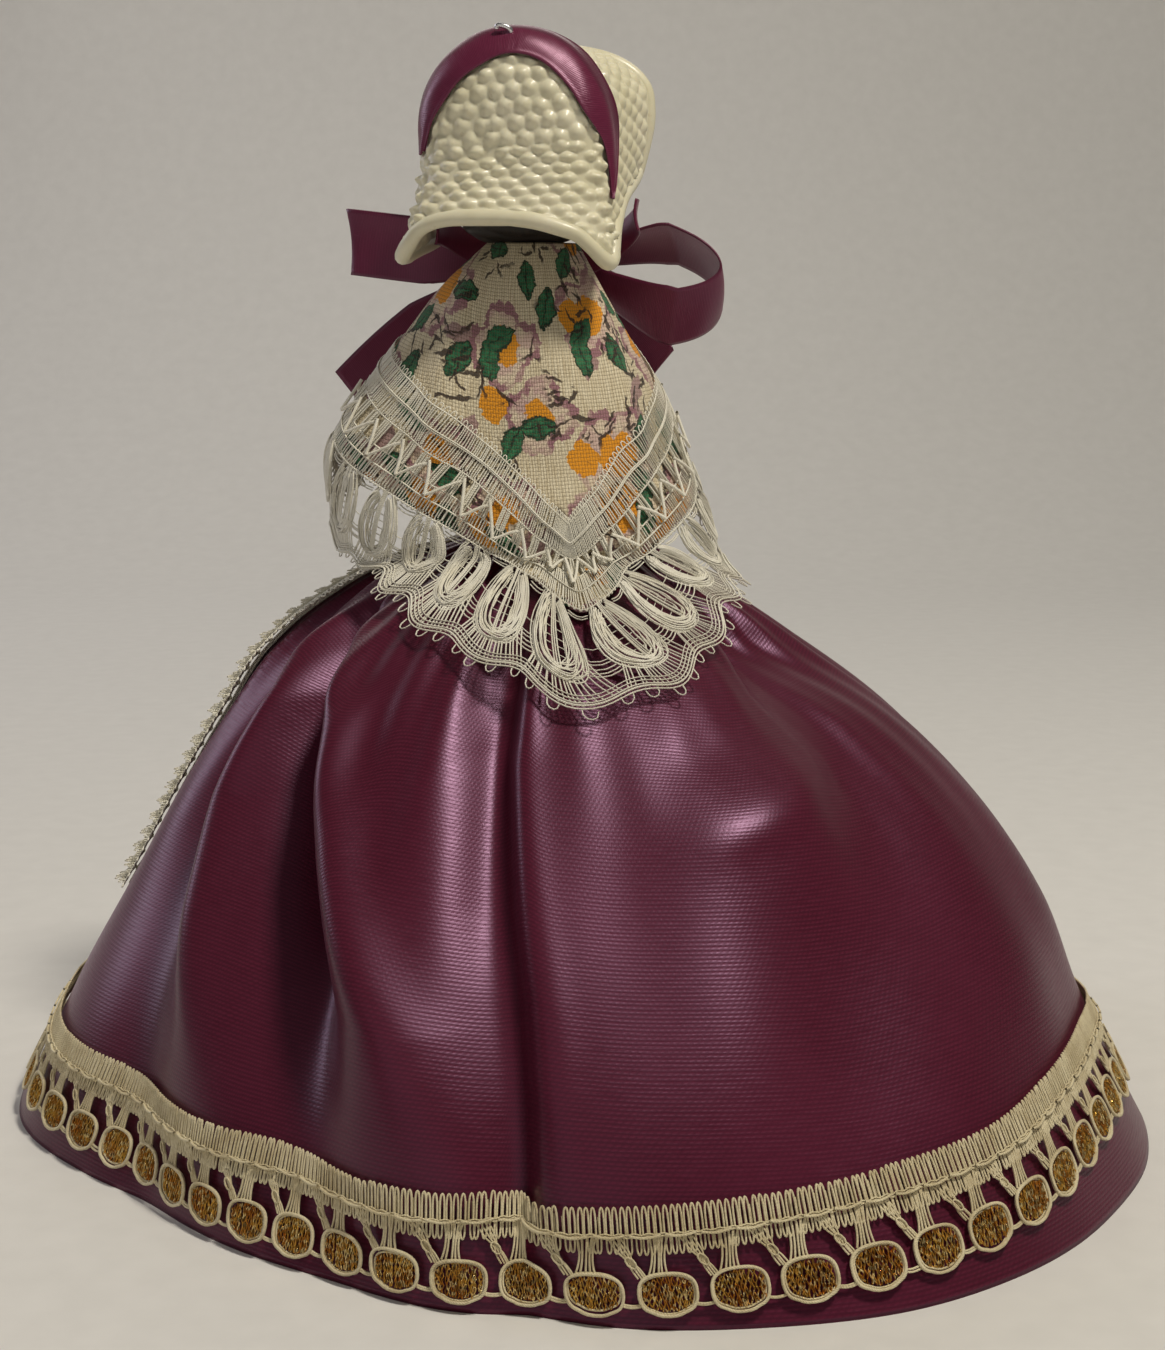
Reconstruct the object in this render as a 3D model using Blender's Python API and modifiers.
"""Topsy turvy doll: two dolls joined at the waist, and a reversible skirt that hides one of them.

The doll stands on its hem. The upper doll faces -Y, and the hidden one hangs head down inside the skirt.
The origin is the middle of the hem, on the floor. A turn is an angle from the back, +Y, towards -X.
"""

import math

import bmesh
import bpy
import numpy as np
from mathutils import Matrix, Vector

# Fits
CLEARANCE = 0.0003
CLOTH_CLEARANCE = 0.0006
CUT_OVERRUN = 0.002
HEM_CUT = 0.0005

# Skirt
HEM_RADIUS = 0.082
WAIST_HEIGHT = 0.086
WAIST_OFFSET = 0.0027
SPINE_LEAN = math.radians(3.5)
SKIRT_THICKNESS = 0.0012
SKIRT_TOP_DROP = 0.002
SKIRT_COLUMNS = 64
FOLD_DEPTH = 0.0085
LINING_THICKNESS = 0.0008
LINING_DROP = 0.0022
LINING_LIFT = 0.0012
LINING_CLEARANCE = 0.0012

# Heights up the skirt, and how far out each side of it reaches there, from the waist, 0, to the hem, 1
SKIRT_HEIGHT_SHARES = (0, 0.238, 0.405, 0.56, 0.69, 0.798, 0.881, 0.946, 1)
BACK_SHARES = (1, 0.917, 0.80, 0.662, 0.531, 0.407, 0.283, 0.145, 0)
LEFT_SHARES = (0.99, 0.86, 0.745, 0.641, 0.545, 0.455, 0.338, 0.20, 0)
FRONT_SHARES = (0.99, 0.89, 0.78, 0.655, 0.531, 0.407, 0.283, 0.145, 0)
RIGHT_SHARES = (0.985, 0.865, 0.807, 0.697, 0.552, 0.386, 0.241, 0.11, 0)

# How the hem's outline leaves a circle, by turn in degrees
HEM_TURNS = (-180, -140, -100, -80, -60, -36, -18, 2, 25, 45, 62, 82, 110, 145, 180)
HEM_OUTLINE_SHARES = (1, 0.98, 1.06, 1.05, 0.97, 0.94, 0.985, 1.02, 1.07, 1.05, 1.03, 1.0, 0.99, 0.98, 1)

FOLD_HEIGHT_SHARES = (0, 0.25, 0.5, 0.8, 0.93, 1)
FOLD_MARGIN_SHARE = 1.05

# Folds: turn at the waist, turn at the hem, half width in degrees, and depth shares at hem, middle and waist
FOLD_SHARES = (
    (-62, -24, 8, (0.12, 1.00, 0.80)),
    (-82, -52, 7, (0.15, 0.62, 0.55)),
    (-16, -5, 5, (0.18, 0.45, 0.40)),
    (62, 14, 11, (0.00, 0.40, 0.80)),
    (96, 88, 11, (0.10, 0.50, 0.45)),
    (128, 122, 10, (0.22, 0.60, 0.45)),
    (166, 160, 11, (0.15, 0.50, 0.40)),
    (-156, -160, 10, (0.20, 0.60, 0.45)),
    (-118, -122, 11, (0.15, 0.50, 0.40)),
)

# Hem lace
HEM_LACE_WIDTH = 0.0115
HEM_LACE_THICKNESS = 0.0007
HEM_LACE_CLEARANCE = 0.0009
HEM_SCALLOP_DEPTH = 0.0016
HEM_SCALLOPS = 64
SCALLOP_STEPS = 3
HEM_LACE_TURNS = (-180, -120, -80, -45, -10, 30, 60, 90, 130, 180)
HEM_LACE_LIFT = 0.0070
HEM_LACE_LIFT_SHARES = (0.45, 0.50, 0.62, 0.42, 0.20, 0.45, 1.0, 0.85, 0.5, 0.45)

# Apron on the hidden front, by turns in degrees from the front
APRON_LEFT_TURN = 90
APRON_RIGHT_TURN = 45
APRON_THICKNESS = 0.0006
APRON_LOW_SHARE = 0.245
APRON_CORNER_SHARE = 0.12
APRON_LACE_WIDTH = 0.0042

# Dolls: every height is above the waist, along the spine
DOWEL_RADIUS = 0.0020
DOWEL_REACH = 0.0200
TORSO_HEIGHT = 0.0360
TORSO_WAIST_RADIUS = 0.0070
CHEST_HEIGHT = TORSO_HEIGHT * 7 / 18
CHEST_HALF_WIDTH = 0.0074
CHEST_HALF_DEPTH = 0.0066
SHOULDER_HEIGHT = TORSO_HEIGHT * 13 / 18
SHOULDER_HALF_WIDTH = 0.0053
SHOULDER_HALF_DEPTH = 0.0052
COLLAR_RADIUS = 0.0046
NECK_RADIUS = 0.0033
NECK_PEG = 0.0060
BODICE_THICKNESS = 0.0007
SASH_THICKNESS = 0.0009
SASH_WIDTH = 0.0044
HEAD_RADIUS = 0.0102
HEAD_STEPS = 10
HEAD_DEPTH_SHARE = 0.96
HEAD_LIFT = 0.0165
CHIN_SHARE = 0.10
UPPER_HEAD_TURN = math.radians(-11)
HAIR_THICKNESS = 0.0008
HAIR_REACH = math.radians(112)
HAIR_TILT = math.radians(48)

# Arms
PIN_RADIUS = 0.0006
PIN_SEAT = 0.0012
SHOULDER_SPREAD = 0.0090
ARM_RADIUS = 0.0024
UPPER_ARM = 0.0150
FOREARM = 0.0120
ARM_CROWN = 0.0022
HAND_LENGTH = 0.0060
LEFT_ARM_SPREAD = math.radians(38)
RIGHT_ARM_SPREAD = math.radians(15)
FOREARM_DROP = math.radians(28)
FOREARM_TURN_IN = math.radians(24)
ARM_RADIUS_SHARES = (0.45, 0.85, 1.0, 1.0, 0.95, 0.90, 1.0, 0.92, 0.84, 0.78)
HAND_RADIUS_SHARES = (0.52, 0.62, 0.78, 0.76, 0.36)

# Bonnet, from the head's middle
BONNET_THICKNESS = 0.0012
BONNET_BACK = 0.0146
BONNET_CREASE = 0.0086
BONNET_FRONT = 0.0100
BRIM_HALF_WIDTH = 0.0172
CROWN_TOP = 0.0142
BRIM_TOP = 0.0140
SEAM_TOP = 0.0040
NAPE_DROP = 0.0108
NAPE_CORNER_DROP = 0.0164
BRIM_DROP = 0.0068
NAPE_LEFT_FLARE = 0.0044
NAPE_RIGHT_FLARE = 0.0030
NAPE_BACK_FLARE = 0.0030
CREASE_SHARE = 0.56
SPRING_SHARE = 0.56
JAMB_SHARE = 0.25
BONNET_RINGS = 10
BONNET_COLUMNS = 16
BAND_START_SHARE = 0.28
BAND_STOP_SHARE = 0.60
BAND_THICKNESS = 0.0005
BAND_LEFT_END_SHARE = 0.20
BAND_RIGHT_END_SHARE = 0.12
BAND_ROWS = 4
STUD_RADIUS = 0.0007
STUD_ROW = 1

# Bow under the chin
RIBBON_WIDTH = 0.0098
RIBBON_THICKNESS = 0.0005
KNOT_RADIUS = 0.0022
KNOT_DEPTH_SHARE = 0.8
KNOT_REACH = 0.0124
KNOT_DROP = 0.0168
LEFT_LOOP_REACH = 0.0285
LEFT_LOOP_OPEN = 0.0026
LEFT_LOOP_RISE = 0.18
LEFT_LOOP_ACROSS_SHARES = (0, 0, 1)
LEFT_LOOP_APART_SHARES = (0, 1, 0)
RIGHT_LOOP_REACH = 0.0225
RIGHT_LOOP_OPEN = 0.0068
RIGHT_LOOP_RISE = -0.22
RIGHT_LOOP_ACROSS_SHARES = (0, 0.72, 0.69)
RIGHT_LOOP_APART_SHARES = (0, 0.69, -0.72)
LOOP_ROUNDNESS = 0.8
LOOP_SWELL = 1.4
LOOP_NECK_SHARE = 0.12
LOOP_NARROW_SHARE = 0.35
LOOP_WIDENING = 1.8
LOOP_STEPS = 12
LEFT_TAIL_LENGTH = 0.0420
LEFT_TAIL_OUT_SHARE = 0.76
LEFT_TAIL_FALL_SHARE = 0.40
LEFT_TAIL_ACROSS_SHARES = (0.5, 0.25, 0.83)
RIGHT_TAIL_LENGTH = 0.0220
RIGHT_TAIL_OUT_SHARE = 0.56
RIGHT_TAIL_FALL_SHARE = 0.72
RIGHT_TAIL_ACROSS_SHARES = (-0.64, 0.30, 0.70)
TAIL_SAG = 0.0022
TAIL_CURVE = 1.8
TAIL_NARROW_SHARE = 0.12
TAIL_WIDENING = 1.6
TAIL_STEPS = 7
TIE_REACH = 0.0143
TIE_WIDTH = 0.0045
TIE_DIP = 2.5
TIE_ROUNDNESS = 0.7
TIE_STEPS = 12

# Shawl, with its reach to each side of the spine by height
SHAWL_THICKNESS = 0.0008
SHAWL_LACE_THICKNESS = 0.0007
SHAWL_TOP = TORSO_HEIGHT + 0.0020
SHAWL_TIP = 0.0235
SHAWL_COLUMNS = 30
SHAWL_ROWS = 6
SHAWL_END_TURN = 168
SHAWL_LEFT = 0.0305
SHAWL_RIGHT = 0.0235
SHAWL_BACK = 0.0200
SHAWL_FRONT = 0.0145
SHAWL_HEIGHT_SHARES = (1, 0.902, 0.805, 0.675, 0.528, 0.415, 0.25, 0)
SHAWL_LEFT_SHARES = (0.19, 0.48, 0.68, 0.86, 0.99, 1.0, 1.0, 1.0)
SHAWL_RIGHT_SHARES = (0.25, 0.42, 0.57, 0.76, 0.88, 0.96, 1.0, 1.0)
SHAWL_BACK_SHARES = (0.28, 0.46, 0.58, 0.72, 0.84, 0.98, 1.0, 1.0)
SHAWL_FRONT_SHARES = (0.38, 0.60, 0.74, 0.88, 0.96, 1.0, 1.0, 1.0)
EDGE_TURNS = (-168, -130, -90, -70, -55, -35, -18, 4, 20, 33, 58, 76, 90, 125, 168)
LACE_LOW_SHARES = (0.80, 0.66, 0.53, 0.44, 0.33, 0.17, 0.06, 0, 0.02, 0.07, 0.19, 0.40, 0.56, 0.68, 0.80)
CLOTH_LOW_SHARES = (0.84, 0.72, 0.61, 0.54, 0.45, 0.31, 0.20, 0.13, 0.15, 0.20, 0.31, 0.50, 0.64, 0.74, 0.84)
LACE_TOP_SHARES = (0.90, 0.84, 0.78, 0.72, 0.65, 0.53, 0.43, 0.35, 0.40, 0.46, 0.56, 0.68, 0.77, 0.84, 0.90)
SHAWL_SCALLOPS = 22
SHAWL_SCALLOP_DEPTH = 0.0014
SHAWL_LACE_CLEARANCE = 0.0012
SHAWL_BLEND = 9

# Hidden doll
CAP_THICKNESS = 0.0009
CAP_REACH = math.radians(104)
CAP_TILT = math.radians(40)
FRILL_WIDTH = 0.0036
COLLAR_WIDTH = 0.0062
COLLAR_THICKNESS = 0.0008
HIDDEN_ARM_SPREAD = math.radians(118)
HIDDEN_FOREARM_DROP = math.radians(-18)

ROUND_STEPS = 16
BOWL_STEPS = 7
SMOOTH_ANGLE = math.radians(40)

DOLL = bpy.data.collections.new("topsy_turvy_doll")
CUTTERS = bpy.data.collections.new("cutters")


def clear_scene():
    for obj in list(bpy.data.objects):
        bpy.data.objects.remove(obj)
    bpy.context.scene.collection.children.link(DOLL)
    bpy.context.scene.collection.children.link(CUTTERS)
    CUTTERS.hide_render = True


def paint(obj, name, colour, roughness, metallic=0.0):
    """Gives the object a plain surface of this name, made once."""
    surface = bpy.data.materials.get(name)
    if surface is None:
        surface = bpy.data.materials.new(name)
        surface.use_nodes = True
        shader = surface.node_tree.nodes["Principled BSDF"]
        shader.inputs["Base Color"].default_value = (*colour, 1)
        shader.inputs["Roughness"].default_value = roughness
        shader.inputs["Metallic"].default_value = metallic
    obj.data.materials.clear()
    obj.data.materials.append(surface)


def plum_satin(obj):
    paint(obj, "plum_satin", (0.17, 0.03, 0.11), 0.42)


def plum_ribbon(obj):
    paint(obj, "plum_ribbon", (0.13, 0.01, 0.06), 0.35)


def cream_lace(obj):
    paint(obj, "cream_lace", (0.78, 0.72, 0.58), 0.85)


def printed_cotton(obj):
    paint(obj, "printed_cotton", (0.72, 0.62, 0.50), 0.9)


def cream_cotton(obj):
    paint(obj, "cream_cotton", (0.80, 0.76, 0.66), 0.9)


def blue_cotton(obj):
    paint(obj, "blue_cotton", (0.12, 0.20, 0.33), 0.9)


def body_cloth(obj):
    paint(obj, "body_cloth", (0.72, 0.50, 0.38), 0.92)


def doll_vinyl(obj):
    paint(obj, "doll_vinyl", (0.80, 0.52, 0.40), 0.5)


def bonnet_plastic(obj):
    paint(obj, "bonnet_plastic", (0.80, 0.75, 0.60), 0.3)


def dark_hair(obj):
    paint(obj, "dark_hair", (0.06, 0.03, 0.02), 0.55)


def birch_wood(obj):
    paint(obj, "birch_wood", (0.62, 0.45, 0.27), 0.6)


def bright_steel(obj):
    paint(obj, "bright_steel", (0.70, 0.70, 0.70), 0.25, 1.0)


def add(mesh, name, home=DOLL):
    obj = bpy.data.objects.new(name, mesh)
    home.objects.link(obj)
    return obj


def mesh_of(build, name):
    """A mesh of this name from a function that fills a bmesh."""
    mesh = bpy.data.meshes.new(name)
    shape = bmesh.new()
    build(shape)
    shape.to_mesh(mesh)
    shape.free()
    return mesh


def shade(obj):
    obj.data.shade_smooth()
    obj.data.set_sharp_from_angle(angle=SMOOTH_ANGLE)


def empty(name, parent=None, place=(0, 0, 0), rotation=(0, 0, 0)):
    frame = bpy.data.objects.new(name, None)
    frame.location = place
    frame.rotation_euler = rotation
    frame.parent = parent
    frame.hide_render = True
    DOLL.objects.link(frame)
    return frame


def grid_mesh(name, points, closed, pole=False):
    """A surface through rows of points. Closed rows join end to end, and pole welds points that meet."""
    rows, columns = points.shape[:2]
    wrap = columns if closed else columns - 1

    def build(shape):
        corners = [[shape.verts.new(point) for point in row] for row in points]
        for low, high in zip(corners, corners[1:]):
            for at in range(wrap):
                after = (at + 1) % columns
                shape.faces.new((low[at], low[after], high[after], high[at]))
        if pole:
            bmesh.ops.remove_doubles(shape, verts=shape.verts, dist=CLEARANCE / 10)
            bmesh.ops.dissolve_degenerate(shape, edges=shape.edges, dist=CLEARANCE / 10)

    return mesh_of(build, name)


def shell(name, points, thickness, closed=False, side=1, pole=False):
    """A sheet as a solid: it thickens along its normals, outwards with side 1 and inwards with side -1."""
    obj = add(grid_mesh(name, points, closed, pole), name)
    solid = obj.modifiers.new("thickness", "SOLIDIFY")
    solid.thickness = thickness
    solid.offset = side
    solid.use_even_offset = False
    shade(obj)
    return obj


def normals_of(points, closed):
    """Unit normals of a grid of points, for rows that climb and columns that turn with the grid."""
    if closed:
        along = np.roll(points, -1, axis=1) - np.roll(points, 1, axis=1)
    else:
        along = np.gradient(points, axis=1)
    up = np.gradient(points, axis=0)
    normal = np.cross(along, up)
    return normal / np.maximum(np.linalg.norm(normal, axis=2, keepdims=True), 1e-12)


def offset(points, distance, closed=False):
    return points + normals_of(points, closed) * distance


def ring_solid(name, rings, loop=False, steps=ROUND_STEPS):
    """A loft of level ellipses, each (half width, half depth, height). A loop joins the last ring to the first."""
    def build(shape):
        made = []
        for half_width, half_depth, height in rings:
            if half_width == 0:
                made.append([shape.verts.new((0, 0, height))])
                continue
            turns = [2 * math.pi * step / steps for step in range(steps)]
            made.append([
                shape.verts.new((half_width * math.cos(turn), half_depth * math.sin(turn), height))
                for turn in turns
            ])
        pairs = list(zip(made, made[1:])) + ([(made[-1], made[0])] if loop else [])
        for first, second in pairs:
            for at in range(steps):
                after = (at + 1) % steps
                face = [first[at % len(first)], first[after % len(first)]]
                face += [second[after % len(second)], second[at % len(second)]]
                shape.faces.new(list(dict.fromkeys(face)))
        bmesh.ops.recalc_face_normals(shape, faces=shape.faces)

    obj = add(mesh_of(build, name), name)
    shade(obj)
    return obj


def turned(name, profile, closed=False, steps=ROUND_STEPS, home=DOLL):
    """A profile of (radius, height) points turned round Z, running down its outer side from top to bottom."""
    def build(shape):
        points = [shape.verts.new((radius, 0, height)) for radius, height in profile]
        pairs = list(zip(points, points[1:])) + ([(points[-1], points[0])] if closed else [])
        for pair in pairs:
            shape.edges.new(pair)

    obj = add(mesh_of(build, name), name, home)
    screw = obj.modifiers.new("turn", "SCREW")
    screw.steps = steps
    screw.render_steps = steps
    screw.use_merge_vertices = True
    screw.merge_threshold = CLEARANCE / 30
    return obj


def smooth_route(points, between):
    """Points along a smooth curve through the given ones."""
    ends = [2 * points[0] - points[1], *points, 2 * points[-1] - points[-2]]
    route = []
    for at in range(1, len(ends) - 2):
        before, start, stop, after = ends[at - 1 : at + 3]
        for step in range(between):
            share = step / between
            route.append(0.5 * (
                2 * start + (stop - before) * share
                + (2 * before - 5 * start + 4 * stop - after) * share**2
                + (3 * start - before - 3 * stop + after) * share**3
            ))
    return route + [ends[-2]]


def tube(name, route, radii, resolution=2):
    """A round limb along a route, as a mesh with welded caps."""
    curve = bpy.data.curves.new(name, "CURVE")
    curve.dimensions = "3D"
    curve.bevel_depth = 1
    curve.bevel_resolution = resolution
    curve.use_fill_caps = True
    spline = curve.splines.new("POLY")
    spline.points.add(len(route) - 1)
    for point, place, radius in zip(spline.points, route, radii):
        point.co = (*place, 1)
        point.radius = radius
    guide = bpy.data.objects.new(name + "_route", curve)
    DOLL.objects.link(guide)
    bpy.context.view_layer.update()
    mesh = bpy.data.meshes.new_from_object(guide.evaluated_get(bpy.context.evaluated_depsgraph_get()))
    bpy.data.objects.remove(guide)
    shape = bmesh.new()
    shape.from_mesh(mesh)
    bmesh.ops.remove_doubles(shape, verts=shape.verts, dist=CLEARANCE / 30)
    bmesh.ops.recalc_face_normals(shape, faces=shape.faces)
    shape.to_mesh(mesh)
    shape.free()
    mesh.name = name
    obj = add(mesh, name)
    shade(obj)
    return obj


def cut(obj, cutter):
    hole = obj.modifiers.new("hole", "BOOLEAN")
    hole.operation = "DIFFERENCE"
    hole.object = cutter


def interpolate(at, places, values):
    return float(np.interp(at, places, values))


def ease(at, places, values):
    """The value at a place, read from a table with level ends between its points."""
    places = np.asarray(places, float)
    values = np.asarray(values, float)
    slopes = np.gradient(values, places)
    at = min(max(at, places[0]), places[-1])
    low = min(int(np.searchsorted(places, at, side="right")) - 1, len(places) - 2)
    span = places[low + 1] - places[low]
    share = (at - places[low]) / span
    return float(
        values[low] * (1 + 2 * share) * (1 - share) ** 2
        + values[low + 1] * share**2 * (3 - 2 * share)
        + span * slopes[low] * share * (1 - share) ** 2
        - span * slopes[low + 1] * share**2 * (1 - share)
    )


def bodice_radius():
    return TORSO_WAIST_RADIUS + CLEARANCE + BODICE_THICKNESS


def skirt_top_radius():
    return bodice_radius() + CLEARANCE + SKIRT_THICKNESS / 2


def skirt_height():
    return WAIST_HEIGHT - SKIRT_TOP_DROP


def side_share(turn, height_share):
    """How far out the skirt reaches at a turn, blended between its four sides."""
    back = ease(height_share, SKIRT_HEIGHT_SHARES, BACK_SHARES)
    left = ease(height_share, SKIRT_HEIGHT_SHARES, LEFT_SHARES)
    front = ease(height_share, SKIRT_HEIGHT_SHARES, FRONT_SHARES)
    right = ease(height_share, SKIRT_HEIGHT_SHARES, RIGHT_SHARES)
    depth = back if math.cos(turn) > 0 else front
    width = right if math.sin(turn) > 0 else left
    return depth * math.cos(turn) ** 2 + width * math.sin(turn) ** 2


def fold_strength(height_share, strengths):
    hem, middle, waist = strengths
    depths = hem, (hem + middle) / 2, middle, waist, waist / 2, 0
    return interpolate(height_share, FOLD_HEIGHT_SHARES, depths)


def fold_depth(turn, height_share):
    total = 0
    for waist_turn, hem_turn, half_width, strengths in FOLD_SHARES:
        centre = hem_turn + (waist_turn - hem_turn) * height_share
        away = (math.degrees(turn) - centre + 180) % 360 - 180
        total += fold_strength(height_share, strengths) * math.exp(-((away / half_width) ** 2))
    return FOLD_DEPTH * min(1, total)


def deepest_fold(height_share):
    deepest = max(fold_strength(height_share, strengths) for *_, strengths in FOLD_SHARES)
    return FOLD_DEPTH * min(1, deepest * FOLD_MARGIN_SHARE)


def hem_outline(turn):
    return ease((math.degrees(turn) + 180) % 360 - 180, HEM_TURNS, HEM_OUTLINE_SHARES)


def skirt_radius(turn, height_share, folded=True, hem_radius=HEM_RADIUS):
    top = skirt_top_radius()
    outline = 1 + (hem_outline(turn) - 1) * (1 - height_share) ** 1.5
    radius = top + (hem_radius * outline - top) * side_share(turn, height_share)
    if folded:
        radius -= fold_depth(turn, height_share)
    return radius


def round_point(centre, radius, turn, height):
    return (centre[0] - radius * math.sin(turn), centre[1] + radius * math.cos(turn), height)


def column_turns():
    return [-math.pi + 2 * math.pi * column / SKIRT_COLUMNS for column in range(SKIRT_COLUMNS)]


def hem_lace_lift(turn):
    return HEM_LACE_LIFT * ease(math.degrees(turn), HEM_LACE_TURNS, HEM_LACE_LIFT_SHARES)


def hem_middle():
    """Where the skirt's axis meets the floor, set so that the hem and its lace are centred on the origin."""
    lace = HEM_LACE_CLEARANCE + HEM_LACE_THICKNESS
    points = []
    for turn in column_turns():
        lace_radius = skirt_radius(turn, hem_lace_lift(turn) / skirt_height()) + lace
        points.append(round_point((0, 0), max(skirt_radius(turn, 0), lace_radius), turn, 0))
    middle = (np.max(points, axis=0) + np.min(points, axis=0)) / 2
    return -middle[0], -middle[1]


HEM_MIDDLE = hem_middle()


def skirt_axis(height_share):
    """The middle of the skirt at a height, from the hem's own middle to the waist."""
    waist_x = WAIST_OFFSET - math.tan(SPINE_LEAN) * SKIRT_TOP_DROP
    return (
        HEM_MIDDLE[0] * (1 - height_share) + waist_x * height_share,
        HEM_MIDDLE[1] * (1 - height_share),
    )


def skirt_grid(folded=True):
    """Rows of points up the outside of the skirt. Columns run against the turn, so that normals face out."""
    rows = []
    for height_share in SKIRT_HEIGHT_SHARES:
        centre = skirt_axis(height_share)
        height = skirt_height() * height_share
        rows.append([
            round_point(centre, skirt_radius(turn, height_share, folded), turn, height)
            for turn in column_turns()
        ])
    return np.array(rows)


def on_grid(grid, column, height_share):
    """The point of a closed grid at a column that need not be whole, and a share of the skirt's height."""
    row = interpolate(height_share, SKIRT_HEIGHT_SHARES, range(len(SKIRT_HEIGHT_SHARES)))
    low_row = min(int(row), len(SKIRT_HEIGHT_SHARES) - 2)
    low_column = math.floor(column)
    up = row - low_row
    along = column - low_column
    first = low_column % SKIRT_COLUMNS
    second = (low_column + 1) % SKIRT_COLUMNS
    bottom = grid[low_row, first] * (1 - along) + grid[low_row, second] * along
    top = grid[low_row + 1, first] * (1 - along) + grid[low_row + 1, second] * along
    return bottom * (1 - up) + top * up


def make_skirt():
    """The satin skirt that shows, with its main folds and a hem cut level to stand on."""
    grid = skirt_grid()
    foot = grid[:1] - (0, 0, 2 * HEM_CUT)
    skirt = shell("skirt_outer", np.concatenate([foot, grid]), SKIRT_THICKNESS, closed=True, side=-1)
    reach = 2 * HEM_RADIUS
    mesh = mesh_of(lambda shape: bmesh.ops.create_cube(shape, size=2), "floor_cutter")
    floor = add(mesh, "floor_cutter", CUTTERS)
    floor.scale = (reach, reach, CUT_OVERRUN)
    floor.location.z = -CUT_OVERRUN
    floor.display_type = "WIRE"
    floor.hide_render = True
    cut(skirt, floor)
    plum_satin(skirt)


def make_lining():
    """The hidden doll's own skirt: a smooth printed layer inside the satin, gathered at the same waist."""
    inset = SKIRT_THICKNESS + LINING_CLEARANCE
    height = skirt_height() - LINING_DROP
    rows = []
    for height_share in SKIRT_HEIGHT_SHARES[::2]:
        centre = skirt_axis(height_share)
        row = []
        for turn in column_turns()[::2]:
            radius = skirt_radius(turn, height_share, False, HEM_RADIUS - inset)
            radius -= deepest_fold(height_share) + inset * (1 - height_share) * height_share
            row.append(round_point(centre, radius, turn, LINING_LIFT + (height - LINING_LIFT) * height_share))
        rows.append(row)
    lining = shell("skirt_lining", np.array(rows), LINING_THICKNESS, closed=True, side=-1)
    printed_cotton(lining)


def make_hem_lace():
    """The scalloped lace round the hem, one scallop to a column of the skirt."""
    grid = skirt_grid()
    facing = normals_of(grid, True)
    count = HEM_SCALLOPS * SCALLOP_STEPS
    rows = [[], []]
    for step in range(count):
        column = step * SKIRT_COLUMNS / count
        turn = -math.pi + 2 * math.pi * step / count
        scallop = abs(math.sin(math.pi * step / SCALLOP_STEPS))
        low = hem_lace_lift(turn) + HEM_SCALLOP_DEPTH * (1 - scallop)
        high = hem_lace_lift(turn) + HEM_LACE_WIDTH
        for row, height in zip(rows, (low, high)):
            height_share = height / skirt_height()
            out = on_grid(facing, column, height_share)
            row.append(on_grid(grid, column, height_share) + out / np.linalg.norm(out) * HEM_LACE_CLEARANCE)
    lace = shell("hem_lace", np.array(rows), HEM_LACE_THICKNESS, closed=True, side=1)
    cream_lace(lace)


def apron_low_share(across):
    """The apron's lower edge by place across it, -1 to 1: level in the middle, with rounded corners."""
    return APRON_LOW_SHARE + APRON_CORNER_SHARE * abs(across) ** 4


def column_at(turn_from_front):
    """The skirt's column at a turn from the front, towards the doll's left."""
    return turn_from_front * SKIRT_COLUMNS / 360


def apron_line(column, across, shift=0):
    """Points up the apron at a column, lifted off the skirt, and shifted sideways by a length."""
    smooth = skirt_grid(folded=False)
    facing = normals_of(smooth, True)
    low = apron_low_share(across)
    line = []
    for share in (low, *(height for height in SKIRT_HEIGHT_SHARES[2:] if height > low)):
        around = np.linalg.norm(on_grid(smooth, column + 1, share) - on_grid(smooth, column, share))
        there = column + shift / around
        out = on_grid(facing, there, share)
        line.append(on_grid(smooth, there, share) + out / np.linalg.norm(out) * CLOTH_CLEARANCE)
    return line


def make_apron():
    """The apron's cloth, as flat to the skirt's front as its folds allow."""
    last = math.floor(column_at(APRON_LEFT_TURN))
    first = -math.floor(column_at(APRON_RIGHT_TURN))
    lines = [apron_line(column, column / (last if column > 0 else -first)) for column in range(first, last + 1)]
    apron = shell("apron", np.stack(lines, axis=1), APRON_THICKNESS)
    cream_cotton(apron)


def make_apron_laces():
    """The looped edging up both sides of the apron."""
    last = math.floor(column_at(APRON_LEFT_TURN))
    first = -math.floor(column_at(APRON_RIGHT_TURN))
    for name, column, side in (("apron_lace_left", last, 1), ("apron_lace_right", first, -1)):
        near = apron_line(column, 1, side * CLEARANCE)
        far = apron_line(column, 1, side * (CLEARANCE + APRON_LACE_WIDTH))
        pair = (near, far) if side > 0 else (far, near)
        lace = shell(name, np.stack(pair, axis=1), APRON_THICKNESS)
        cream_lace(lace)


def torso_side():
    """The torso's outer half widths and half depths by height, from the neck down to the waist."""
    return (
        (COLLAR_RADIUS, COLLAR_RADIUS, TORSO_HEIGHT),
        (SHOULDER_HALF_WIDTH, COLLAR_RADIUS, (TORSO_HEIGHT + SHOULDER_HEIGHT) / 2),
        (SHOULDER_HALF_WIDTH, SHOULDER_HALF_DEPTH, SHOULDER_HEIGHT),
        (CHEST_HALF_WIDTH, CHEST_HALF_DEPTH, CHEST_HEIGHT),
        ((CHEST_HALF_WIDTH + TORSO_WAIST_RADIUS) / 2, CHEST_HALF_DEPTH, CHEST_HEIGHT / 2),
        (TORSO_WAIST_RADIUS, TORSO_WAIST_RADIUS, CLEARANCE / 2),
    )


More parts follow.
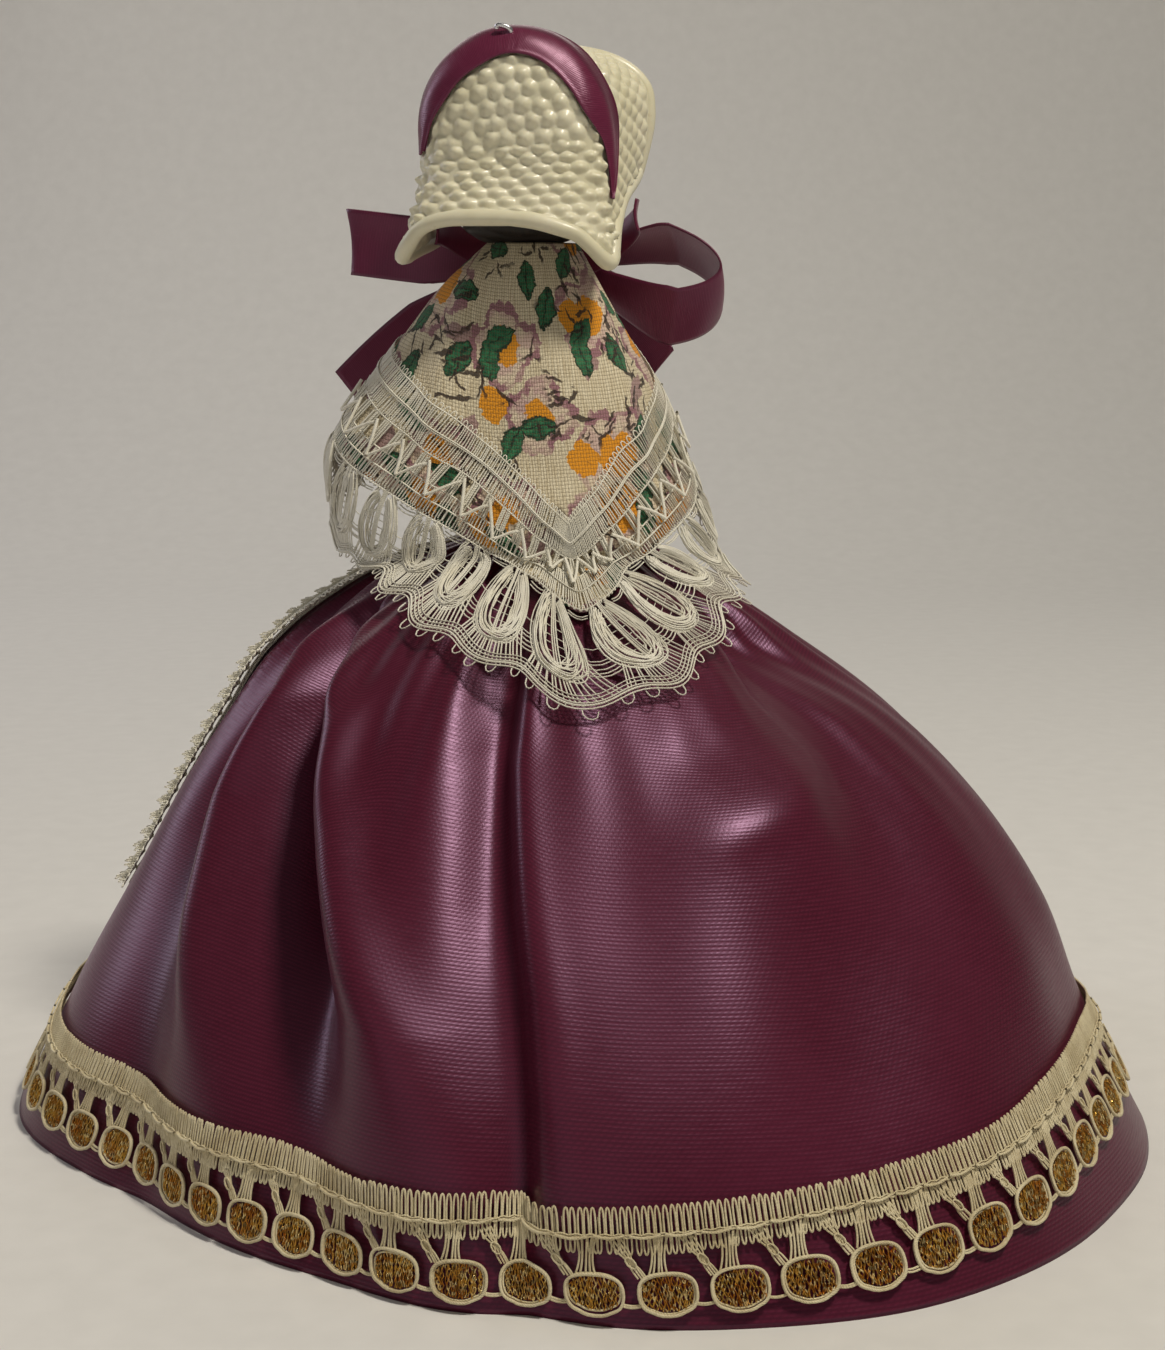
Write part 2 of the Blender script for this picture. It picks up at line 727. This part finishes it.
def pin_cutter(name, frame):
    radius = PIN_RADIUS + CLEARANCE
    half = SHOULDER_SPREAD + PIN_SEAT + CLEARANCE
    cutter = turned(name, ((0, half), (radius, half), (radius, -half), (0, -half)), home=CUTTERS)
    cutter.parent = frame
    cutter.location.z = SHOULDER_HEIGHT
    cutter.rotation_euler.y = math.pi / 2
    cutter.display_type = "WIRE"
    cutter.hide_render = True
    return cutter


def make_torso(suffix, frame, cutter):
    socket = NECK_RADIUS + CLEARANCE
    floor = TORSO_HEIGHT - NECK_PEG - CLEARANCE
    bore = DOWEL_RADIUS + CLEARANCE
    side = torso_side()
    rings = [(0, 0, floor), (socket, socket, floor), (socket, socket, TORSO_HEIGHT), *side]
    rings += [(bore, bore, side[-1][2]), (bore, bore, DOWEL_REACH + CLEARANCE), (0, 0, DOWEL_REACH + CLEARANCE)]
    torso = ring_solid("torso_" + suffix, rings)
    torso.parent = frame
    cut(torso, cutter)
    body_cloth(torso)


def make_bodice(suffix, frame, cutter):
    """A fitted cloth tube round the torso, from the shoulders to the waist."""
    inner = [(w + CLEARANCE, d + CLEARANCE, h) for w, d, h in torso_side()[1:]]
    outer = [(w + BODICE_THICKNESS, d + BODICE_THICKNESS, h) for w, d, h in inner]
    bodice = ring_solid("bodice_" + suffix, outer + inner[::-1], loop=True)
    bodice.parent = frame
    cut(bodice, cutter)
    if suffix == "upper":
        plum_satin(bodice)
    else:
        blue_cotton(bodice)


def make_shoulder_pin(suffix, frame):
    half = SHOULDER_SPREAD + PIN_SEAT
    pin = turned("shoulder_pin_" + suffix, ((0, half), (PIN_RADIUS, half), (PIN_RADIUS, -half), (0, -half)), steps=10)
    pin.parent = frame
    pin.location.z = SHOULDER_HEIGHT
    pin.rotation_euler.y = math.pi / 2
    bright_steel(pin)


def arm_places(side, spread, drop):
    """Crown, elbow and wrist of an arm, from its shoulder pivot, with side 1 on the +X side."""
    out = Vector((side * math.sin(spread), 0, -math.cos(spread)))
    elbow = out * UPPER_ARM
    forward = Vector((-side * math.sin(FOREARM_TURN_IN), -math.cos(FOREARM_TURN_IN), 0)) * math.cos(drop)
    forward.z = -math.sin(drop)
    return -out * ARM_CROWN, elbow, elbow + forward * FOREARM


def make_arm(side_name, suffix, frame, cutter, spread, drop):
    """A stuffed sleeve that swings on the shoulder pin, with a moulded hand at its wrist."""
    side = 1 if side_name == "left" else -1
    crown, elbow, wrist = arm_places(side, spread, drop)
    pivot = empty(f"arm_{side_name}_{suffix}_pivot", frame, (side * SHOULDER_SPREAD, 0, SHOULDER_HEIGHT))
    bend = elbow - elbow.normalized() * ARM_RADIUS / 2
    route = smooth_route([crown, elbow / 2, bend, wrist], 3)
    radii = [ARM_RADIUS * share for share in ARM_RADIUS_SHARES]
    arm = tube(f"arm_{side_name}_{suffix}", route, radii, 1)
    arm.parent = pivot
    cut(arm, cutter)
    ahead = (route[-1] - route[-2]).normalized()
    start = wrist + ahead * CLEARANCE
    hand_route = [start + ahead * HAND_LENGTH * step / 4 for step in range(5)]
    hand = tube(f"hand_{side_name}_{suffix}", hand_route, [ARM_RADIUS * share for share in HAND_RADIUS_SHARES])
    hand.parent = pivot
    doll_vinyl(hand)
    if suffix == "upper":
        cream_cotton(arm)
    else:
        blue_cotton(arm)


def make_head(suffix, turning):
    """A head with a narrower chin, on a neck whose peg sits in the torso. Heights are from the neck's top."""
    peg = -NECK_PEG
    rings = [(0, 0, peg), (NECK_RADIUS, NECK_RADIUS, peg), (NECK_RADIUS, NECK_RADIUS, HEAD_LIFT - HEAD_RADIUS)]
    for step in range(2, HEAD_STEPS):
        turn = math.pi * step / HEAD_STEPS
        radius = HEAD_RADIUS * math.sin(turn) * (1 - CHIN_SHARE * (1 + math.cos(turn)) / 2)
        rings.append((radius, radius * HEAD_DEPTH_SHARE, HEAD_LIFT - HEAD_RADIUS * math.cos(turn)))
    rings.append((0, 0, HEAD_LIFT + HEAD_RADIUS))
    head = ring_solid("head_" + suffix, rings[::-1])
    head.parent = turning
    doll_vinyl(head)


def bowl_radius(inside, reach):
    """The inner radius of a bowl, far enough out that its flat facets clear what it covers."""
    return (inside + CLEARANCE) / math.cos(math.pi / ROUND_STEPS) / math.cos(reach / BOWL_STEPS / 2)


def hair_radius():
    return bowl_radius(HEAD_RADIUS, HAIR_REACH)


def bowl_profile(inner, thickness, reach, steps=BOWL_STEPS):
    """A thick arc round the origin, from its pole on +Z down to the reach angle and back inside."""
    turns = [reach * step / steps for step in range(steps + 1)]
    outer = [((inner + thickness) * math.sin(turn), (inner + thickness) * math.cos(turn)) for turn in turns]
    return outer + [(inner * math.sin(turn), inner * math.cos(turn)) for turn in reversed(turns)]


def make_hair(suffix, turning):
    inner = hair_radius()
    hair = turned("hair_" + suffix, bowl_profile(inner, HAIR_THICKNESS, HAIR_REACH))
    hair.parent = turning
    hair.location.z = HEAD_LIFT
    hair.rotation_euler.x = -HAIR_TILT
    dark_hair(hair)


def crown_half_width():
    return hair_radius() + HAIR_THICKNESS + CLEARANCE + BONNET_THICKNESS


def arch(around):
    """An arch on straight jambs: how far across, from 1 to -1, how far up, and how far up its jamb."""
    side = 1 if around < 0.5 else -1
    up = min(around, 1 - around)
    if up < JAMB_SHARE:
        return side, SPRING_SHARE * up / JAMB_SHARE, up / JAMB_SHARE
    turn = math.pi * (around - JAMB_SHARE) / (1 - 2 * JAMB_SHARE)
    return math.cos(turn), SPRING_SHARE + (1 - SPRING_SHARE) * math.sin(turn), 1


def bonnet_point(ring, around):
    """A point of the bonnet's outside. Ring runs from the seam, 0, to the brim, 1. Around runs from foot to foot."""
    across, up, jamb = arch(around)
    back_share = min(ring / CREASE_SHARE, 1)
    swell = math.sin(back_share * math.pi / 2)
    brim = max(ring - CREASE_SHARE, 0) / (1 - CREASE_SHARE)
    crown = crown_half_width()
    half_width = crown * swell + (BRIM_HALF_WIDTH - crown) * brim
    top = SEAM_TOP + (CROWN_TOP - SEAM_TOP) * swell + (BRIM_TOP - CROWN_TOP) * brim
    foot = -interpolate(ring, (0, CREASE_SHARE, 1), (NAPE_DROP, NAPE_CORNER_DROP, BRIM_DROP))
    bow = (1 - math.cos(back_share * math.pi / 2)) ** 1.4
    depth = BONNET_BACK - (BONNET_BACK - BONNET_CREASE) * bow - (BONNET_CREASE + BONNET_FRONT) * brim
    flare = (1 - jamb) ** 2 * (1 - brim)
    side_flare = flare * back_share * (NAPE_LEFT_FLARE if across > 0 else NAPE_RIGHT_FLARE)
    return ((half_width + side_flare) * across, depth + flare * NAPE_BACK_FLARE, foot + (top - foot) * up)


def bonnet_grid(rings, arounds):
    return np.array([[bonnet_point(ring, around) for around in arounds] for ring in rings])


def make_bonnet(turning):
    """A moulded bonnet: an arched crown at the back that flares over the nape, and a brim round the face."""
    rings = [ring / BONNET_RINGS for ring in range(BONNET_RINGS + 1)]
    arounds = [column / BONNET_COLUMNS for column in range(BONNET_COLUMNS + 1)]
    bonnet = shell("bonnet_shell", bonnet_grid(rings, arounds), BONNET_THICKNESS, side=-1, pole=True)
    bonnet.parent = turning
    bonnet.location.z = HEAD_LIFT
    bonnet_plastic(bonnet)


def band_grid(lift):
    wide = BAND_STOP_SHARE - BAND_START_SHARE
    long = 1 - BAND_LEFT_END_SHARE - BAND_RIGHT_END_SHARE
    rings = [BAND_START_SHARE + wide * row / BAND_ROWS for row in range(BAND_ROWS + 1)]
    arounds = [BAND_LEFT_END_SHARE + long * column / BONNET_COLUMNS for column in range(BONNET_COLUMNS + 1)]
    return offset(bonnet_grid(rings, arounds), lift)


def make_bonnet_band(turning):
    band = shell("bonnet_band", band_grid(CLOTH_CLEARANCE), BAND_THICKNESS)
    band.parent = turning
    band.location.z = HEAD_LIFT
    plum_ribbon(band)


def make_band_stud(turning):
    """A small bright stud that pins the band at the top of the crown."""
    lift = CLOTH_CLEARANCE + BAND_THICKNESS + CLEARANCE + STUD_RADIUS
    place = band_grid(lift)[STUD_ROW, BONNET_COLUMNS // 2]
    mesh = mesh_of(
        lambda shape: bmesh.ops.create_uvsphere(shape, u_segments=10, v_segments=6, radius=STUD_RADIUS), "band_stud"
    )
    stud = add(mesh, "band_stud")
    stud.parent = turning
    stud.location = Vector(place) + Vector((0, 0, HEAD_LIFT))
    shade(stud)
    bright_steel(stud)


def ribbon(name, route, across, width, turning):
    """A flat ribbon along a route, with its width along the across vectors."""
    half = width / 2
    rows = [[list(place - way * half), list(place + way * half)] for place, way in zip(route, across)]
    strip = shell(name, np.array(rows), RIBBON_THICKNESS, side=0)
    strip.parent = turning
    plum_ribbon(strip)


def knot_place():
    return Vector((0, -KNOT_REACH, HEAD_LIFT - KNOT_DROP))


def make_chin_knot(turning):
    mesh = mesh_of(
        lambda shape: bmesh.ops.create_uvsphere(shape, u_segments=12, v_segments=8, radius=KNOT_RADIUS), "chin_knot"
    )
    mesh.transform(Matrix.Diagonal((1, KNOT_DEPTH_SHARE, 1, 1)))
    knot = add(mesh, "chin_knot")
    knot.parent = turning
    knot.location = knot_place()
    shade(knot)
    plum_ribbon(knot)


def make_bow_loop(name, side, reach, opening, rise, across, apart, turning):
    """A loop of ribbon that leaves the knot sideways and comes back to it."""
    gap = KNOT_RADIUS + CLEARANCE + RIBBON_THICKNESS
    route = []
    widths = []
    for step in range(LOOP_STEPS + 1):
        turn = math.pi * step / LOOP_STEPS
        away = reach * math.sin(turn) ** LOOP_ROUNDNESS
        spread = opening * math.cos(turn) * min(1, math.sin(turn) * LOOP_SWELL + LOOP_NECK_SHARE)
        route.append(knot_place() + Vector((side * (gap + away), 0, rise * away)) + Vector(apart) * spread)
        wide = min(1, LOOP_WIDENING * math.sin(turn))
        widths.append(Vector(across) * (LOOP_NARROW_SHARE + (1 - LOOP_NARROW_SHARE) * wide))
    ribbon(name, route, widths, RIBBON_WIDTH, turning)


def make_bow_loops(turning):
    """The left loop lies flat with its broad side to the back, and the right one hangs open."""
    make_bow_loop(
        "bow_loop_left", 1, LEFT_LOOP_REACH, LEFT_LOOP_OPEN, LEFT_LOOP_RISE,
        LEFT_LOOP_ACROSS_SHARES, LEFT_LOOP_APART_SHARES, turning,
    )
    make_bow_loop(
        "bow_loop_right", -1, RIGHT_LOOP_REACH, RIGHT_LOOP_OPEN, RIGHT_LOOP_RISE,
        RIGHT_LOOP_ACROSS_SHARES, RIGHT_LOOP_APART_SHARES, turning,
    )


def make_bow_tail(name, side, length, out, fall, across, turning):
    """A tail that starts on the knot's front and falls before the shawl."""
    start = knot_place() + Vector((side * KNOT_RADIUS / 2, 0, -KNOT_RADIUS / 2))
    route = []
    widths = []
    for step in range(TAIL_STEPS + 1):
        share = step / TAIL_STEPS
        forward = -TAIL_SAG * (1 + math.sin(math.pi * share))
        drop = length * fall * share**TAIL_CURVE
        route.append(start + Vector((side * out * length * share, forward, -drop)))
        wide = min(1, TAIL_WIDENING * share)
        widths.append(Vector(across) * (TAIL_NARROW_SHARE + (1 - TAIL_NARROW_SHARE) * wide))
    ribbon(name, route, widths, RIBBON_WIDTH, turning)


def make_bow_tails(turning):
    make_bow_tail(
        "bow_tail_left", 1, LEFT_TAIL_LENGTH, LEFT_TAIL_OUT_SHARE, LEFT_TAIL_FALL_SHARE,
        LEFT_TAIL_ACROSS_SHARES, turning,
    )
    make_bow_tail(
        "bow_tail_right", -1, RIGHT_TAIL_LENGTH, RIGHT_TAIL_OUT_SHARE, RIGHT_TAIL_FALL_SHARE,
        RIGHT_TAIL_ACROSS_SHARES, turning,
    )


def make_chin_ties(turning):
    """The ribbon that runs from one side of the bonnet, behind the knot and up to the other side."""
    route = []
    deepest = KNOT_REACH - KNOT_RADIUS * KNOT_DEPTH_SHARE - CLEARANCE - 2 * RIBBON_THICKNESS
    for step in range(TIE_STEPS + 1):
        turn = math.pi * step / TIE_STEPS
        height = HEAD_LIFT - KNOT_DROP + (KNOT_DROP - NAPE_DROP) * abs(math.cos(turn)) ** TIE_DIP
        route.append(Vector((TIE_REACH * math.cos(turn), -deepest * math.sin(turn) ** TIE_ROUNDNESS, height)))
    ribbon("chin_ties", route, [Vector((0, 0, 1))] * len(route), TIE_WIDTH, turning)


def shawl_height(height_share):
    low = WAIST_HEIGHT - SHAWL_TIP
    return low + (WAIST_HEIGHT + SHAWL_TOP - low) * height_share


def spine_x(height):
    return WAIST_OFFSET + math.tan(SPINE_LEAN) * (height - WAIST_HEIGHT)


def shawl_reach(height_share, shares):
    return ease(height_share, SHAWL_HEIGHT_SHARES[::-1], shares[::-1])


def shawl_point(turn, height_share):
    """A point of the shawl's inside: a lopsided cape over the arms that comes to lie on the skirt."""
    if math.sin(turn) > 0:
        across = SHAWL_RIGHT * shawl_reach(height_share, SHAWL_RIGHT_SHARES)
    else:
        across = SHAWL_LEFT * shawl_reach(height_share, SHAWL_LEFT_SHARES)
    if math.cos(turn) > 0:
        depth = SHAWL_BACK * shawl_reach(height_share, SHAWL_BACK_SHARES)
    else:
        depth = SHAWL_FRONT * shawl_reach(height_share, SHAWL_FRONT_SHARES)
    radius = 1 / math.hypot(math.cos(turn) / depth, math.sin(turn) / across)
    height = shawl_height(height_share)
    skirt_share = height / skirt_height()
    if skirt_share >= 1:
        return round_point((spine_x(height), 0), radius, turn, height)
    lying = skirt_radius(turn, skirt_share, False) + 2 * CLOTH_CLEARANCE
    radius = (radius**SHAWL_BLEND + lying**SHAWL_BLEND) ** (1 / SHAWL_BLEND)
    return round_point(skirt_axis(skirt_share), radius, turn, height)


def shawl_grid(turns, low_shares, high_shares, rows):
    grid = []
    for row in range(rows + 1):
        line = []
        for turn in turns:
            low = ease(turn, EDGE_TURNS, low_shares)
            high = 1 if high_shares is None else ease(turn, EDGE_TURNS, high_shares)
            line.append(shawl_point(math.radians(turn), low + (high - low) * row / rows))
        grid.append(line)
    return np.array(grid)


def spread_turns(start, stop, columns):
    return [start + (stop - start) * column / columns for column in range(columns + 1)]


def make_shawl():
    """The printed triangle over the shoulders, its point down the back."""
    turns = spread_turns(-SHAWL_END_TURN, SHAWL_END_TURN, SHAWL_COLUMNS)
    shawl = shell("shawl", shawl_grid(turns, CLOTH_LOW_SHARES, None, SHAWL_ROWS), SHAWL_THICKNESS)
    printed_cotton(shawl)


def make_shawl_lace():
    """The lace over the shawl's edge, in one length that turns in a point at the back."""
    count = SHAWL_SCALLOPS * SCALLOP_STEPS
    turns = spread_turns(-SHAWL_END_TURN, SHAWL_END_TURN, count)
    grid = shawl_grid(turns, LACE_LOW_SHARES, LACE_TOP_SHARES, 3)
    grid = offset(grid, SHAWL_THICKNESS + SHAWL_LACE_CLEARANCE)
    along = grid[1] - grid[0]
    along /= np.linalg.norm(along, axis=1, keepdims=True)
    dips = np.array([1 - abs(math.sin(math.pi * step / SCALLOP_STEPS)) for step in range(count + 1)])
    grid[0] += along * SHAWL_SCALLOP_DEPTH * dips[:, None]
    lace = shell("shawl_lace", grid, SHAWL_LACE_THICKNESS)
    cream_lace(lace)


def make_sash(frame):
    inner = bodice_radius() + CLEARANCE
    outer = inner + SASH_THICKNESS
    low = CLEARANCE
    high = low + SASH_WIDTH
    sash = turned("waist_sash", ((outer, high), (outer, low), (inner, low), (inner, high)), closed=True)
    sash.parent = frame
    shade(sash)
    plum_ribbon(sash)


def make_dowel(frame):
    profile = (0, DOWEL_REACH), (DOWEL_RADIUS, DOWEL_REACH), (DOWEL_RADIUS, -DOWEL_REACH), (0, -DOWEL_REACH)
    dowel = turned("spine_dowel", profile, steps=12)
    dowel.parent = frame
    birch_wood(dowel)


def make_cap(turning):
    """A round cap with a flat frill, on the hidden doll's hair."""
    inner = bowl_radius(hair_radius() + HAIR_THICKNESS, CAP_REACH)
    bowl = bowl_profile(inner, CAP_THICKNESS, CAP_REACH)
    half = len(bowl) // 2
    edge = bowl[half - 1]
    frill = [(edge[0] + FRILL_WIDTH, edge[1]), (edge[0] + FRILL_WIDTH, edge[1] - CAP_THICKNESS)]
    cap = turned("cap_hidden", bowl[:half] + frill + bowl[half:])
    cap.parent = turning
    cap.location.z = HEAD_LIFT
    cap.rotation_euler.x = -CAP_TILT
    cream_cotton(cap)


def make_collar(frame):
    """A flat round collar at the hidden doll's neck."""
    inner = NECK_RADIUS + CLEARANCE
    low = TORSO_HEIGHT + CLEARANCE
    profile = (
        (inner, low + COLLAR_THICKNESS),
        (inner + COLLAR_WIDTH, low + COLLAR_THICKNESS),
        (inner + COLLAR_WIDTH, low),
        (inner, low),
    )
    collar = turned("collar_hidden", profile, closed=True)
    collar.parent = frame
    cream_lace(collar)


def make_figure(suffix, frame, left_spread, right_spread, drop, head_turn):
    """One doll in its own frame, from the waist up. It returns the frame that turns with the head."""
    cutter = pin_cutter("pin_cutter_" + suffix, frame)
    make_torso(suffix, frame, cutter)
    make_bodice(suffix, frame, cutter)
    make_shoulder_pin(suffix, frame)
    make_arm("left", suffix, frame, cutter, left_spread, drop)
    make_arm("right", suffix, frame, cutter, right_spread, drop)
    turning = empty(f"head_{suffix}_turn", frame, (0, 0, TORSO_HEIGHT), (0, 0, head_turn))
    make_head(suffix, turning)
    make_hair(suffix, turning)
    return turning


def make_doll():
    clear_scene()
    spine = empty("spine", None, (WAIST_OFFSET, 0, WAIST_HEIGHT), (0, SPINE_LEAN, 0))
    hidden = empty("hidden_frame", spine, rotation=(0, math.pi, 0))
    make_dowel(spine)
    upper_arms = LEFT_ARM_SPREAD, RIGHT_ARM_SPREAD, FOREARM_DROP
    upper_head = make_figure("upper", spine, *upper_arms, UPPER_HEAD_TURN)
    hidden_arms = HIDDEN_ARM_SPREAD, HIDDEN_ARM_SPREAD, HIDDEN_FOREARM_DROP
    hidden_head = make_figure("hidden", hidden, *hidden_arms, 0)
    make_bonnet(upper_head)
    make_bonnet_band(upper_head)
    make_band_stud(upper_head)
    make_chin_ties(upper_head)
    make_chin_knot(upper_head)
    make_bow_loops(upper_head)
    make_bow_tails(upper_head)
    make_cap(hidden_head)
    make_collar(hidden)
    make_sash(spine)
    make_skirt()
    make_lining()
    make_hem_lace()
    make_apron()
    make_apron_laces()
    make_shawl()
    make_shawl_lace()
    bpy.context.view_layer.update()


make_doll()
